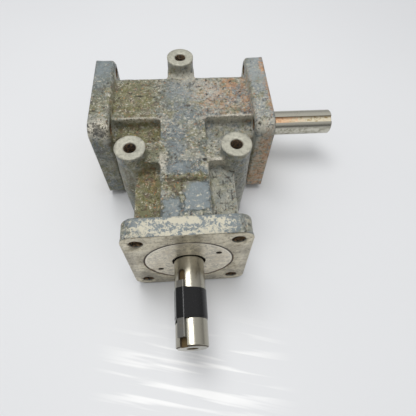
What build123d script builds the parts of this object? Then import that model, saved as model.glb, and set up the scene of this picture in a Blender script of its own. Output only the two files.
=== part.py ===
from build123d import *

import os
from math import atan, cos, pi, radians, sin, sqrt, tan

# Right angle bevel gearbox: a cast three-flange housing, a through cross shaft
# that leaves on the right, a front shaft, and a pair of mitre gears between them.
# Millimetres. The origin is the centre of the front mounting face, on the front
# shaft's axis. +Y points into the box, +X along the right shaft, +Z up.
# A piece that turns is drawn about Z, with z counted from the crossing of the
# shaft axes or from its own seat, and then stood in its place by a plane.

# Reach of each mounting face from the crossing of the shaft axes
front_reach = 117.5
side_reach = 63.5

# Shafts
shaft_r = 9.525
front_extension = 52.9
right_extension = 57.1
shaft_chamfer = 0.9
centre_hole_r = 2.4
centre_hole_depth = 5.0
centre_countersink_r = 3.6
centre_countersink_angle = 60
shaft_crossing_gap = 3.0
mouth_groove_start = 0.4
mouth_groove_width = 1.2
mouth_groove_depth = 0.3

# Square keys and their ways
key_size = 4.76
key_side_gap = 0.02
key_top_gap = 0.25
key_corner = 0.3
front_keyway_angle = 121.0
front_keyway_start = 8.0
front_key_start = 15.5
front_key_end = 47.9
right_keyway_angle = 119.0
right_keyway_start = 4.0
gear_key_angle = 90.0
gear_key_length = 16.0

# Tape that keeps the front key in its way
tape_start = 20.0
tape_width = 17.5
tape_thickness = 0.35
tape_gap = 0.02

# Flanges
flange_side = 76.8
flange_thick = 13.7
flange_corner_r = 7.9
flange_back_round = 2.6
bolt_spacing = 59.0
bolt_hole_r = 4.2

# Cast body, measured from the crossing
plateau_height = 30.5
ledge_height = 21.0
arm_half_width = 33.0
cross_strip_half_width = 21.0
front_strip_half_width = 16.0
front_step = 73.5
front_step_drop = 1.6
web_near_edge = 42.0
web_far_edge = 60.0
rear_neck_half_width = 10.6
casting_overlap = 3.0
casting_draft = 3.5
pocket_corner_r = 3.2
arm_corner_r = 5.0
plateau_edge_r = 1.3
ledge_edge_r = 0.8
cove_r = 2.4
cove_rise = 3.0

# Bosses with tapped holes, on the top and on the bottom
boss_height = 39.5
boss_r = 10.0
boss_draft = 1.6
front_boss_x = 34.2
front_boss_from_crossing = 54.6
rear_boss_y = 33.4
boss_hole_r = 3.97
boss_hole_depth = 18.0
boss_mouth_chamfer = 0.7
boss_places = [
    (-front_boss_x, -front_boss_from_crossing),
    (front_boss_x, -front_boss_from_crossing),
    (0, rear_boss_y),
]

# Screwed bearing caps
cap_r = 28.4
cap_length = 10.5
cap_fit = 0.05
cap_edge_chamfer = 0.5
cap_mouth_chamfer = 0.45
cap_shaft_hole_r = 10.8
cap_wall = 2.6
blind_cap_wall = 3.5
blind_cap_gap = 2.2
cap_nose_bore_r = 18.7
cap_nose_depth = 2.0
spanner_hole_r = 1.95
spanner_hole_depth = 2.0
spanner_circle_r = 22.1
spanner_angle = 31.0

# Lip seals
seal_r = 16.0
seal_width = 5.0
seal_shell = 1.0
seal_lip_width = 1.2
seal_lip_gap = 0.05

# Tapered roller bearings, z from the back of the cone towards its small end
cup_r = 22.62
cup_width = 12.07
cone_width = 16.64
bearing_width = 15.49
roller_count = 13
roller_length = 9.5
roller_pitch_r = 16.2
roller_middle = 9.2
roller_tilt = 10.5
roller_half_angle = 2.0
race_gap = 0.05
rib_r = 16.0
small_rib_r = 13.3
small_rib_gap = 0.15
cage_thick = 0.8
cage_tilt = 0.5
cage_margin = 1.5
cage_window_gap = 0.15
housing_shoulder_r = 19.6

# Mitre gears
tooth_count = 20
module = 25.4 / 12
face_width = 9.5
pressure_angle = 20.0
backlash = 0.2
addendum = 1.0
dedendum = 1.25
gear_hub_r = 15.0
gear_rim = 1.3
gear_key_margin = 2.5
space_opening = 1.4
gear_back_from_crossing = 37.5

# Gear cavity
cavity_r = 23.7
cavity_end = 33.0

# Rings that hold the pieces on the shafts
ring_thick = 1.1
ring_groove_depth = 0.65
ring_groove_gap = 0.03
ring_width = 1.9
ring_opening = 42.0
ring_eye_r = 1.7
ring_eye_hole_r = 0.7
ring_eye_stand = 0.5

# Spacer sleeve on the front shaft
sleeve_wall = 2.9
sleeve_fit = 0.02

# Lines of the three arms, each plane's z pointing out of the box and its y up
crossing = (0, front_reach, 0)
to_front = Plane(origin=crossing, x_dir=(1, 0, 0), z_dir=(0, -1, 0))
to_right = Plane(origin=crossing, x_dir=(0, 1, 0), z_dir=(1, 0, 0))
to_left = Plane(origin=crossing, x_dir=(0, -1, 0), z_dir=(-1, 0, 0))
level = Plane(origin=crossing, x_dir=(1, 0, 0), z_dir=(0, 0, 1))
arms = ((to_front, front_reach), (to_right, side_reach), (to_left, side_reach))

# How near an edge or corner must lie to a line to count as on it
on_line = 0.01
beside_line = 1.0

# Distances from the crossing that follow from the sizes above
side_cup_back = side_reach - cap_length
side_cone_back = side_cup_back - bearing_width
outer_cup_back = front_reach - cap_length
outer_cone_back = outer_cup_back - bearing_width
inner_cone_back = gear_back_from_crossing + cone_width
inner_cup_back = inner_cone_back - bearing_width
front_shaft_start = shaft_r + shaft_crossing_gap
front_shaft_end = front_reach + front_extension
right_shaft_end = side_reach + right_extension
left_shaft_end = side_reach - blind_cap_wall - blind_cap_gap

# Bearing seats, each plane on the back of a cone and facing its small end
right_seat = to_right.offset(side_cone_back)
left_seat = to_left.offset(side_cone_back)
outer_seat = to_front.offset(outer_cone_back)
inner_seat = Plane(
    origin=(0, front_reach - inner_cone_back, 0), x_dir=(1, 0, 0), z_dir=(0, 1, 0)
)

# Rolling geometry shared by a bearing's four pieces
tilt = radians(roller_tilt)
rolling_point = roller_middle + roller_pitch_r / tan(tilt)
cup_angle = roller_tilt + roller_half_angle
cone_angle = roller_tilt - roller_half_angle

# Pitch geometry of the gears, equal gears on crossed shafts
pitch_cone = radians(45)
pitch_r = tooth_count * module / 2
cone_distance = pitch_r / sin(pitch_cone)
toe_scale = (cone_distance - face_width) / cone_distance
tip_r = pitch_r + addendum * module * cos(pitch_cone)
tip_z = pitch_r - addendum * module * sin(pitch_cone)
root_r = pitch_r - dedendum * module * cos(pitch_cone)
root_z = pitch_r + dedendum * module * sin(pitch_cone)
toe_z = toe_scale * root_z
space_near_z = toe_z / 2
space_far_z = 2 * pitch_r


def turned(outline):
    """A piece turned about Z from (radius, z) corners."""
    with BuildPart() as piece:
        with BuildSketch(Plane.XZ):
            with BuildLine():
                Polyline(*outline, close=True)
            make_face()
        revolve(axis=Axis.Z)
    return piece


def finish(piece, frame, name):
    """Stand a piece in its place in the box and write it to its own file."""
    with BuildPart(frame) as placed:
        add(piece.part)
    placed.part.label = name
    export_step(placed.part, f"parts/{name}.step")


def bore(frame, start, end, radius):
    """Cut a round bore in the current part between two distances along a line."""
    with BuildSketch(frame.offset(start)) as mouth:
        Circle(radius)
    extrude(mouth.sketch, amount=end - start, mode=Mode.SUBTRACT)


# Housing


def end_rims(body, height):
    """The edges round the top and bottom faces of a body that straddles the level plane."""
    return body.edges().filter_by(lambda edge: abs(abs(edge.center().Z) - height) < on_line)


def flange(frame, reach):
    """One square mounting flange with its back edge rounded as cast."""
    with BuildPart() as plate:
        with BuildSketch(frame.offset(reach)):
            RectangleRounded(flange_side, flange_side, flange_corner_r)
        extrude(amount=-flange_thick)
        back_edges = plate.edges().group_by(Axis(frame.origin, frame.z_dir))[0]
        fillet(back_edges, flange_back_round)
    return plate


def high_plan(side_end, strip_end, web_end, neck_end):
    """Plan of the high middle, each bar of it as long as given from the crossing."""
    web_middle = (web_near_edge + web_far_edge) / 2
    with BuildSketch(level) as plan:
        Rectangle(2 * side_end, 2 * cross_strip_half_width)
        with Locations((0, -strip_end / 2)):
            Rectangle(2 * front_strip_half_width, strip_end)
        with Locations((0, -web_middle)):
            Rectangle(2 * web_end, web_far_edge - web_near_edge)
        with Locations((0, neck_end / 2)):
            Rectangle(2 * rear_neck_half_width, neck_end)
        inside = plan.vertices().filter_by(lambda v: abs(v.X) < web_end - beside_line)
        behind = inside.filter_by(lambda v: v.Y < neck_end - beside_line)
        corners = behind.filter_by(lambda v: v.Y > -web_far_edge - beside_line)
        fillet(corners, pocket_corner_r)
    return plan


def plateau_body():
    """The high middle of the casting: crossing strips, webs and the rear boss's neck."""
    side_end = side_reach - flange_thick + casting_overlap
    plan = high_plan(side_end, front_step, front_boss_x, rear_boss_y)
    with BuildPart() as body:
        extrude(plan.sketch, amount=plateau_height, both=True)
        fillet(end_rims(body, plateau_height), plateau_edge_r)
    return body


def coves():
    """Hollow roundings where the high middle rises from the ledges."""
    span = front_reach
    plan = high_plan(span, span, span, span)
    low = ledge_height - casting_overlap
    with BuildPart() as feet:
        with BuildSketch(level.offset(low)):
            Rectangle(2 * span, 2 * span)
        extrude(amount=casting_overlap)
        extrude(plan.sketch, amount=ledge_height + cove_rise)
        rims = feet.edges().filter_by(lambda edge: abs(edge.center().Z - ledge_height) < on_line)
        rims = rims.filter_by(lambda edge: abs(edge.center().X) < span - beside_line)
        rims = rims.filter_by(lambda edge: abs(edge.center().Y - front_reach) < span - beside_line)
        fillet(rims, cove_r)
    clip = ledge_plan(arm_half_width - ledge_edge_r)
    with BuildPart() as upper:
        with BuildSketch(level.offset(low)):
            add(clip.sketch)
        extrude(amount=casting_overlap + cove_rise)
        add(feet.part, mode=Mode.INTERSECT)
    with BuildPart() as both:
        add(upper.part)
        mirror(upper.part, about=level)
    return both


def lower_strip():
    """The front strip past its step, down to the front flange."""
    start = front_step - casting_overlap
    end = front_reach - flange_thick + casting_overlap
    height = plateau_height - front_step_drop
    with BuildPart() as strip:
        with BuildSketch(to_front.offset(start)):
            RectangleRounded(2 * front_strip_half_width, 2 * height, plateau_edge_r)
        extrude(amount=end - start)
    return strip


def ledge_plan(half):
    """Plan of both arms out to the flanges, as wide as given each way."""
    side_end = side_reach - flange_thick + casting_overlap
    front_end = front_reach - flange_thick + casting_overlap
    with BuildSketch() as plan:
        Rectangle(2 * side_end, 2 * half)
        with Locations((0, -front_end / 2)):
            Rectangle(2 * half, front_end)
        inside = plan.vertices().filter_by(lambda v: abs(v.X) < side_end - beside_line)
        fillet(inside.filter_by(lambda v: v.Y > -half - beside_line), arm_corner_r)
    return plan


def ledge_body():
    """The wide lower body of both arms, drafted from the middle plane."""
    plan = ledge_plan(arm_half_width + ledge_height * tan(radians(casting_draft)))
    with BuildPart() as body:
        with BuildSketch(level):
            add(plan.sketch)
        extrude(amount=ledge_height, both=True, taper=casting_draft)
        fillet(end_rims(body, ledge_height), ledge_edge_r)
    return body


def boss_columns():
    """Three columns right through the casting, each drafted to its two end faces."""
    middle_r = boss_r + boss_height * tan(radians(boss_draft))
    with BuildPart() as columns:
        with BuildSketch(level):
            with Locations(*boss_places):
                Circle(middle_r)
        extrude(amount=boss_height, both=True, taper=boss_draft)
    return columns


def housing_part():
    """The cast housing with its machined bores and holes."""
    castings = [plateau_body(), lower_strip(), ledge_body(), coves(), boss_columns()]
    castings += [flange(frame, reach) for frame, reach in arms]
    with BuildPart() as housing:
        for casting in castings:
            add(casting.part)
        for frame, reach in arms:
            bore(frame, reach - cap_length, reach, cap_r + cap_fit)
            with BuildSketch(frame.offset(reach)):
                with GridLocations(bolt_spacing, bolt_spacing, 2, 2):
                    Circle(bolt_hole_r)
            extrude(amount=-flange_thick, mode=Mode.SUBTRACT)
        bore(to_right, -side_cup_back, side_cup_back, cup_r)
        bore(to_right, -cavity_end, cavity_end, cavity_r)
        bore(to_front, 0, cavity_end, cavity_r)
        bore(to_front, cavity_end, inner_cup_back, housing_shoulder_r)
        bore(to_front, inner_cup_back, outer_cup_back, cup_r)
        for side in (1, -1):
            face = Plane(
                origin=(0, front_reach, side * boss_height), x_dir=(1, 0, 0), z_dir=(0, 0, side)
            )
            with BuildSketch(face):
                with Locations(*[(x, side * y) for x, y in boss_places]):
                    Circle(boss_hole_r)
            extrude(amount=-boss_hole_depth, mode=Mode.SUBTRACT)
        chamfer(housing.edges().filter_by(is_boss_mouth), boss_mouth_chamfer)
        chamfer(housing.edges().filter_by(is_cap_mouth), cap_mouth_chamfer)
    return housing


def is_boss_mouth(edge):
    """True for the rim of a tapped hole in a boss's end face."""
    at_face = abs(abs(edge.center().Z) - boss_height) < on_line
    return at_face and edge.length < pi * (boss_hole_r + boss_r)


def is_cap_mouth(edge):
    """True for the rim of a cap's bore in a mounting face."""
    if edge.geom_type != GeomType.CIRCLE or abs(edge.radius - cap_r - cap_fit) > on_line:
        return False
    middle = edge.arc_center
    return any(abs(frame.to_local_coords(middle).Z - reach) < on_line for frame, reach in arms)


# Caps and seals


def cap(reach, bore_r, wall):
    """A screwed bearing cap with two blind holes for a pin spanner."""
    nose = reach - cap_length
    outline = [
        (bore_r, reach),
        (cap_r - cap_edge_chamfer, reach),
        (cap_r, reach - cap_edge_chamfer),
        (cap_r, nose),
        (cap_nose_bore_r, nose),
        (cap_nose_bore_r, nose + cap_nose_depth),
        (seal_r, nose + cap_nose_depth),
        (seal_r, reach - wall),
        (bore_r, reach - wall),
    ]
    body = turned(outline)
    with BuildPart() as piece:
        add(body.part)
        with BuildSketch(Plane.XY.offset(reach).rotated((0, 0, spanner_angle))):
            with PolarLocations(spanner_circle_r, 2):
                Circle(spanner_hole_r)
        extrude(amount=-spanner_hole_depth, mode=Mode.SUBTRACT)
    return piece


def lip_seal(reach):
    """A lip seal behind a cap's wall, its two lips running on the shaft."""
    front = reach - cap_wall
    back = front - seal_width
    lip_r = shaft_r + seal_lip_gap
    neck_r = lip_r + seal_shell
    return turned(
        [
            (lip_r, front),
            (seal_r, front),
            (seal_r, back),
            (seal_r - seal_shell, back),
            (seal_r - seal_shell, front - seal_shell),
            (neck_r + seal_shell, front - seal_shell),
            (neck_r + seal_shell, back + seal_lip_width),
            (neck_r, back),
            (lip_r, back + seal_lip_width / 2),
            (neck_r, back + 2 * seal_lip_width),
            (neck_r, front - seal_lip_width),
            (lip_r, front - seal_lip_width / 2),
        ]
    )


# Bearings, each piece with z = 0 on the back of the cone


def race_r(z, angle):
    """Radius at z of a race whose cone has its point at the rolling point."""
    return (rolling_point - z) * tan(radians(angle))


def roller_corners(gap):
    """Corners of a roller's half section as (radius, z): two on its axis, two on its skin."""
    middle = roller_pitch_r / sin(tilt)
    reach = roller_length / 2 + gap
    axis = [(s * sin(tilt), rolling_point - s * cos(tilt)) for s in (middle - reach, middle + reach)]
    skin = []
    for (r, z), s in zip(axis, (middle - reach, middle + reach)):
        half = s * tan(radians(roller_half_angle)) - race_gap + gap
        skin.append((r + half * cos(tilt), z + half * sin(tilt)))
    return axis[0], axis[1], skin[1], skin[0]


def roller(gap):
    """One tapered roller on its tilted axis, larger all round by a gap."""
    corners = roller_corners(gap)
    small, big = (Vector(r, 0, z) for r, z in corners[:2])
    with BuildPart() as piece:
        with BuildSketch(Plane.XZ):
            with BuildLine():
                Polyline(*corners, close=True)
            make_face()
        revolve(axis=Axis(small, big - small))
    return piece


def bearing_rollers():
    """The ring of tapered rollers."""
    one = roller(0)
    with BuildPart() as rollers:
        with PolarLocations(0, roller_count):
            add(one.part)
    return rollers


def bearing_cup():
    """Outer ring of a bearing."""
    wide_end = bearing_width - cup_width
    return turned(
        [
            (cup_r, wide_end),
            (cup_r, bearing_width),
            (race_r(bearing_width, cup_angle), bearing_width),
            (race_r(wide_end, cup_angle), wide_end),
        ]
    )


def bearing_cone():
    """Inner ring of a bearing, with the ribs that keep the rollers between them."""
    (small_r, small_z), (big_r, big_z) = roller_corners(0)[:2]
    lean = tan(tilt)
    big_foot_r = race_r(big_z, cone_angle)
    small_foot_r = race_r(small_z, cone_angle)
    return turned(
        [
            (shaft_r, 0),
            (rib_r, 0),
            (rib_r, big_z - (big_r - rib_r) * lean - race_gap),
            (big_foot_r, big_z - (big_r - big_foot_r) * lean - race_gap),
            (small_foot_r, small_z - (small_r - small_foot_r) * lean + small_rib_gap),
            (small_rib_r, small_z - (small_r - small_rib_r) * lean + small_rib_gap),
            (small_rib_r, cone_width),
            (shaft_r, cone_width),
        ]
    )


def bearing_cage():
    """Thin conical cage with a window for each roller."""
    (_, small_z), (_, big_z) = roller_corners(0)[:2]
    angle = roller_tilt + cage_tilt
    low, high = big_z - cage_margin, small_z + cage_margin
    half = cage_thick / 2
    band = turned(
        [
            (race_r(low, angle) - half, low),
            (race_r(low, angle) + half, low),
            (race_r(high, angle) + half, high),
            (race_r(high, angle) - half, high),
        ]
    )
    window = roller(cage_window_gap)
    with BuildPart() as cage:
        add(band.part)
        with PolarLocations(0, roller_count):
            add(window.part, mode=Mode.SUBTRACT)
    return cage


# Gears


def cone_section(rho, phi, z):
    """Where a line from the pitch cone's apex crosses the plane at height z.

    The line runs through a point given in polar form, rho and phi, on the back cone
    laid flat.
    """
    back_apex = pitch_r / tan(pitch_cone) + pitch_r * tan(pitch_cone)
    radius = z * rho * cos(pitch_cone) / (back_apex - rho * sin(pitch_cone))
    turn = phi / cos(pitch_cone)
    return (radius * cos(turn), radius * sin(turn))


def involute_angle(rho, base_r):
    """Polar angle at radius rho of an involute that starts on the base circle."""
    roll = sqrt(max((rho / base_r) ** 2 - 1, 0))
    return roll - atan(roll)


def space_side(z):
    """Root, base, pitch and open top of one side of a tooth space, at height z."""
    flat_r = pitch_r / cos(pitch_cone)
    base_r = flat_r * cos(radians(pressure_angle))
    half_space = (pi * module + backlash) / 4 / flat_r
    start = half_space - involute_angle(flat_r, base_r)
    radii = (flat_r - dedendum * module, base_r, flat_r, flat_r + space_opening * module)
    return [cone_section(r, start + involute_angle(r, base_r), z) for r in radii]


def tooth_space():
    """The space between two teeth, every wall running to the pitch cone's apex."""
    with BuildPart() as space:
        for z in (space_near_z, space_far_z):
            side = space_side(z)
            other = [(x, -y) for x, y in side]
            with BuildSketch(Plane.XY.offset(z)):
                with BuildLine():
                    Line(other[0], side[0])
                    Line(side[0], side[1])
                    ThreePointArc(side[1], side[2], side[3])
                    Line(side[3], other[3])
                    ThreePointArc(other[3], other[2], other[1])
                    Line(other[1], other[0])
                make_face()
        loft(ruled=True)
    return space


def mitre_gear(first_space):
    """A straight bevel gear with its hub, its pitch cone's apex at z = 0."""
    heel_r = root_r - gear_rim * cos(pitch_cone)
    heel_z = root_z + gear_rim * sin(pitch_cone)
    blank = turned(
        [
            (shaft_r, toe_z),
            (toe_scale * root_r, toe_z),
            (toe_scale * tip_r, toe_scale * tip_z),
            (tip_r, tip_z),
            (heel_r, heel_z),
            (gear_hub_r, heel_z),
            (gear_hub_r, gear_back_from_crossing),
            (shaft_r, gear_back_from_crossing),
        ]
    )
    space = tooth_space()
    way_top = shaft_r + key_size / 2 + key_top_gap
    with BuildPart() as gear:
        add(blank.part)
        with PolarLocations(0, tooth_count, start_angle=first_space):
            add(space.part, mode=Mode.SUBTRACT)
        with BuildSketch(Plane.XY.offset(toe_z)):
            with Locations((0, way_top / 2)):
                Rectangle(key_size + 2 * key_side_gap, way_top)
        extrude(amount=gear_back_from_crossing - toe_z, mode=Mode.SUBTRACT)
    return gear


# Shafts and what rides on them


def key_floor(angle, middle):
    """Plane on the floor of a keyway, its x along the shaft and its z outward."""
    radial = Vector(cos(radians(angle)), sin(radians(angle)), 0)
    floor = radial * (shaft_r - key_size / 2) + Vector(0, 0, middle)
    return Plane(origin=floor, x_dir=(0, 0, 1), z_dir=radial)


def mill_keyway(angle, start, end):
    """Mill a round-ended keyway in the current shaft."""
    with BuildSketch(key_floor(angle, (start + end) / 2)) as way:
        SlotOverall(end - start, key_size + 2 * key_side_gap)
    extrude(way.sketch, amount=key_size, mode=Mode.SUBTRACT)


def turn_groove(start, end, depth):
    """Turn a groove in the current shaft."""
    with BuildSketch(Plane.XY.offset(start)) as band:
        Circle(shaft_r + depth)
        Circle(shaft_r - depth, mode=Mode.SUBTRACT)
    extrude(band.sketch, amount=end - start, mode=Mode.SUBTRACT)


def ring_groove(z):
    """Turn the groove of a retaining ring that lies from z on."""
    turn_groove(z - ring_groove_gap, z + ring_thick + ring_groove_gap, ring_groove_depth)


def mouth_groove(reach):
    """Turn the relief that ends the bare shaft, hidden in the cap's hole."""
    end = reach - mouth_groove_start
    turn_groove(end - mouth_groove_width, end, mouth_groove_depth)


def bar(low, high):
    """A round bar with chamfered ends and a centre hole in each."""
    with BuildPart() as piece:
        with BuildSketch(Plane.XY.offset(low)):
            Circle(shaft_r)
        extrude(amount=high - low)
        chamfer(piece.edges().filter_by(GeomType.CIRCLE), shaft_chamfer)
        for face in (Plane.XY.offset(high), Plane.XY.offset(low).rotated((180, 0, 0))):
            with Locations(face):
                CounterSinkHole(
                    centre_hole_r,
                    centre_countersink_r,
                    centre_hole_depth,
                    counter_sink_angle=centre_countersink_angle,
                )
    return piece


def gear_key_ends():
    """Where the key in a gear's hub starts and ends."""
    start = toe_z + gear_key_margin
    return start, start + gear_key_length


def front_shaft():
    """The front shaft, from beside the cross shaft to its bare end."""
    start, end = gear_key_ends()
    body = bar(front_shaft_start, front_shaft_end)
    with BuildPart() as shaft:
        add(body.part, rotation=(0, 0, front_keyway_angle))
        ring_groove(toe_z - ring_thick)
        ring_groove(outer_cone_back + cone_width)
        mouth_groove(front_reach)
        mill_keyway(gear_key_angle, start - key_size / 2, end + key_size / 2)
        mill_keyway(
            front_keyway_angle, front_reach + front_keyway_start, front_shaft_end + key_size
        )
    return shaft


def cross_shaft():
    """The cross shaft, from the blind left cap to its bare right end."""
    start, end = gear_key_ends()
    body = bar(-left_shaft_end, right_shaft_end)
    with BuildPart() as shaft:
        add(body.part, rotation=(0, 0, right_keyway_angle))
        ring_groove(toe_z - ring_thick)
        ring_groove(-side_cone_back)
        mouth_groove(side_reach)
        mill_keyway(gear_key_angle, start - key_size / 2, end + key_size / 2)
        mill_keyway(right_keyway_angle, side_reach + right_keyway_start, right_shaft_end + key_size)
    return shaft


def key(angle, start, end):
    """A square key lying in a shaft's keyway, its upper edges broken."""
    with BuildPart() as piece:
        with BuildSketch(key_floor(angle, (start + end) / 2)):
            Rectangle(end - start, key_size)
        extrude(amount=key_size)
        top = piece.faces().sort_by(Axis((0, 0, 0), key_floor(angle, 0).z_dir))[-1]
        chamfer(top.edges(), key_corner)
    return piece


def retaining_ring(z):
    """An open spring ring with two eyes for ring pliers, from z on."""
    inner_r = shaft_r - ring_groove_depth + ring_groove_gap
    eye_circle_r = inner_r + ring_width / 2 + ring_eye_stand
    eye_angle = radians(ring_opening / 2) + ring_eye_r / eye_circle_r
    eyes = [(eye_circle_r * cos(s * eye_angle), eye_circle_r * sin(s * eye_angle)) for s in (1, -1)]
    far = inner_r + 2 * ring_width
    side = far * tan(radians(ring_opening / 2))
    with BuildPart() as ring:
        with BuildSketch(Plane.XY.offset(z)):
            Circle(inner_r + ring_width)
            with Locations(*eyes):
                Circle(ring_eye_r)
            Circle(inner_r, mode=Mode.SUBTRACT)
            with BuildLine():
                Polyline((0, 0), (far, side), (far, -side), close=True)
            make_face(mode=Mode.SUBTRACT)
            with Locations(*eyes):
                Circle(ring_eye_hole_r, mode=Mode.SUBTRACT)
        extrude(amount=ring_thick)
    return ring


def spacer_sleeve():
    """Sleeve between the backs of the two front cones."""
    inner_r = shaft_r + sleeve_fit
    return turned(
        [
            (inner_r, inner_cone_back),
            (inner_r + sleeve_wall, inner_cone_back),
            (inner_r + sleeve_wall, outer_cone_back),
            (inner_r, outer_cone_back),
        ]
    )


def key_tape():
    """Tape wound tight round the front shaft and the key that stands out of it."""
    key_top = shaft_r + key_size / 2
    with BuildSketch() as wound:
        Circle(shaft_r + tape_gap)
        with Locations((key_top / 2, 0)):
            Rectangle(key_top + 2 * tape_gap, key_size + 2 * tape_gap)
        make_hull()
    with BuildPart() as tape:
        with BuildSketch(Plane.XY.offset(front_reach + tape_start)):
            add(wound.sketch, rotation=front_keyway_angle)
            offset(amount=tape_thickness)
            add(wound.sketch, rotation=front_keyway_angle, mode=Mode.SUBTRACT)
        extrude(amount=tape_width)
    return tape


os.makedirs("parts", exist_ok=True)

finish(housing_part(), Plane.XY, "housing")
finish(cap(front_reach, cap_shaft_hole_r, cap_wall), to_front, "front_bearing_cap")
finish(cap(side_reach, cap_shaft_hole_r, cap_wall), to_right, "right_bearing_cap")
finish(cap(side_reach, 0, blind_cap_wall), to_left, "left_blind_cap")
finish(lip_seal(front_reach), to_front, "front_shaft_seal")
finish(lip_seal(side_reach), to_right, "right_shaft_seal")

bearing_pieces = {
    "cup": bearing_cup(),
    "cone": bearing_cone(),
    "cage": bearing_cage(),
    "rollers": bearing_rollers(),
}
bearing_seats = {
    "front_outer": outer_seat,
    "front_inner": inner_seat,
    "right": right_seat,
    "left": left_seat,
}
for place, seat in bearing_seats.items():
    for piece_name, piece in bearing_pieces.items():
        finish(piece, seat, f"{place}_bearing_{piece_name}")

gear_key = key(gear_key_angle, *gear_key_ends())
toe_ring = retaining_ring(toe_z - ring_thick)
key_start = front_reach + front_key_start
key_end = front_reach + front_key_end

finish(front_shaft(), to_front, "front_shaft")
finish(mitre_gear(0), to_front, "front_bevel_pinion")
finish(gear_key, to_front, "pinion_key")
finish(toe_ring, to_front, "pinion_retaining_ring")
finish(retaining_ring(outer_cone_back + cone_width), to_front, "front_bearing_retaining_ring")
finish(spacer_sleeve(), to_front, "front_spacer_sleeve")
finish(key(front_keyway_angle, key_start, key_end), to_front, "front_output_key")
finish(key_tape(), to_front, "key_tape")

finish(cross_shaft(), to_right, "cross_shaft")
finish(mitre_gear(180 / tooth_count), to_right, "cross_bevel_gear")
finish(gear_key, to_right, "cross_gear_key")
finish(toe_ring, to_right, "cross_gear_retaining_ring")
finish(retaining_ring(side_cone_back - ring_thick), to_left, "left_bearing_retaining_ring")
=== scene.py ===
"""Looks of a right angle bevel gearbox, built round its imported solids.

Metres, in the row frame: the origin is the centre of the front mounting face, +Y
points into the box, +X along the right shaft and +Z up.
"""

from __future__ import annotations

import logging
import math
from dataclasses import dataclass, field
from enum import Enum
from typing import Any

import bmesh
import bpy
from mathutils import Matrix, Vector, noise

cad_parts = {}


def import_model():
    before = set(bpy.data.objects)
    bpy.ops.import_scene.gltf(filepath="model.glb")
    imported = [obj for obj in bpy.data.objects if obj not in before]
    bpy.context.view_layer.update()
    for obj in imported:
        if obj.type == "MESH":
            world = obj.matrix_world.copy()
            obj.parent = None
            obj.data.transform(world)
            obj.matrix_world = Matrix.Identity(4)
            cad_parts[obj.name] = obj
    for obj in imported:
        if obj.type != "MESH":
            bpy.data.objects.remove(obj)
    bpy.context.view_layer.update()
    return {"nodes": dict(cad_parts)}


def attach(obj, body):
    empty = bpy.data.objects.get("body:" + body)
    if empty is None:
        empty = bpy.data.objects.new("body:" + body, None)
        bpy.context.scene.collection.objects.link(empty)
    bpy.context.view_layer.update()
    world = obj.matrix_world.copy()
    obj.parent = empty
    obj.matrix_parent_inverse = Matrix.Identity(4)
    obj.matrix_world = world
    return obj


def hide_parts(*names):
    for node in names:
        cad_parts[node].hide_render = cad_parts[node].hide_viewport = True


LOG = logging.getLogger("gearbox")
MM = 0.001

Colour = tuple[float, float, float]
Value = Any


def srgb(red: float, green: float, blue: float) -> Colour:
    """Linear colour of an 8-bit screen colour.

    Args:
        red: Red from 0 to 255.
        green: Green from 0 to 255.
        blue: Blue from 0 to 255.

    Returns:
        The same colour as Blender's shader sockets take it.
    """

    def channel(level: float) -> float:
        """Linear value of one channel."""
        share = level / 255
        return share / 12.92 if share <= 0.04045 else ((share + 0.055) / 1.055) ** 2.4

    return channel(red), channel(green), channel(blue)


class Signal:
    """A socket's value that can be written in sums as a number is."""

    def __init__(self, bench: Bench, socket: bpy.types.NodeSocket) -> None:
        """Wrap an output socket.

        Args:
            bench: Material that the socket belongs to.
            socket: Output whose value this stands for.
        """
        self.bench = bench
        self.socket = socket

    def __add__(self, other: Value) -> Signal:
        """Sum of two values."""
        return self.bench.maths("ADD", self, other)

    def __radd__(self, other: Value) -> Signal:
        """Sum with the plain number on the left."""
        return self.bench.maths("ADD", other, self)

    def __sub__(self, other: Value) -> Signal:
        """Difference of two values."""
        return self.bench.maths("SUBTRACT", self, other)

    def __rsub__(self, other: Value) -> Signal:
        """Difference with the plain number on the left."""
        return self.bench.maths("SUBTRACT", other, self)

    def __mul__(self, other: Value) -> Signal:
        """Product of two values."""
        return self.bench.maths("MULTIPLY", self, other)

    def __rmul__(self, other: Value) -> Signal:
        """Product with the plain number on the left."""
        return self.bench.maths("MULTIPLY", other, self)

    def __abs__(self) -> Signal:
        """Size of the value without its sign."""
        return self.bench.maths("ABSOLUTE", self)

    def __pow__(self, other: Value) -> Signal:
        """Power of the value."""
        return self.bench.maths("POWER", self, other)


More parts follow.
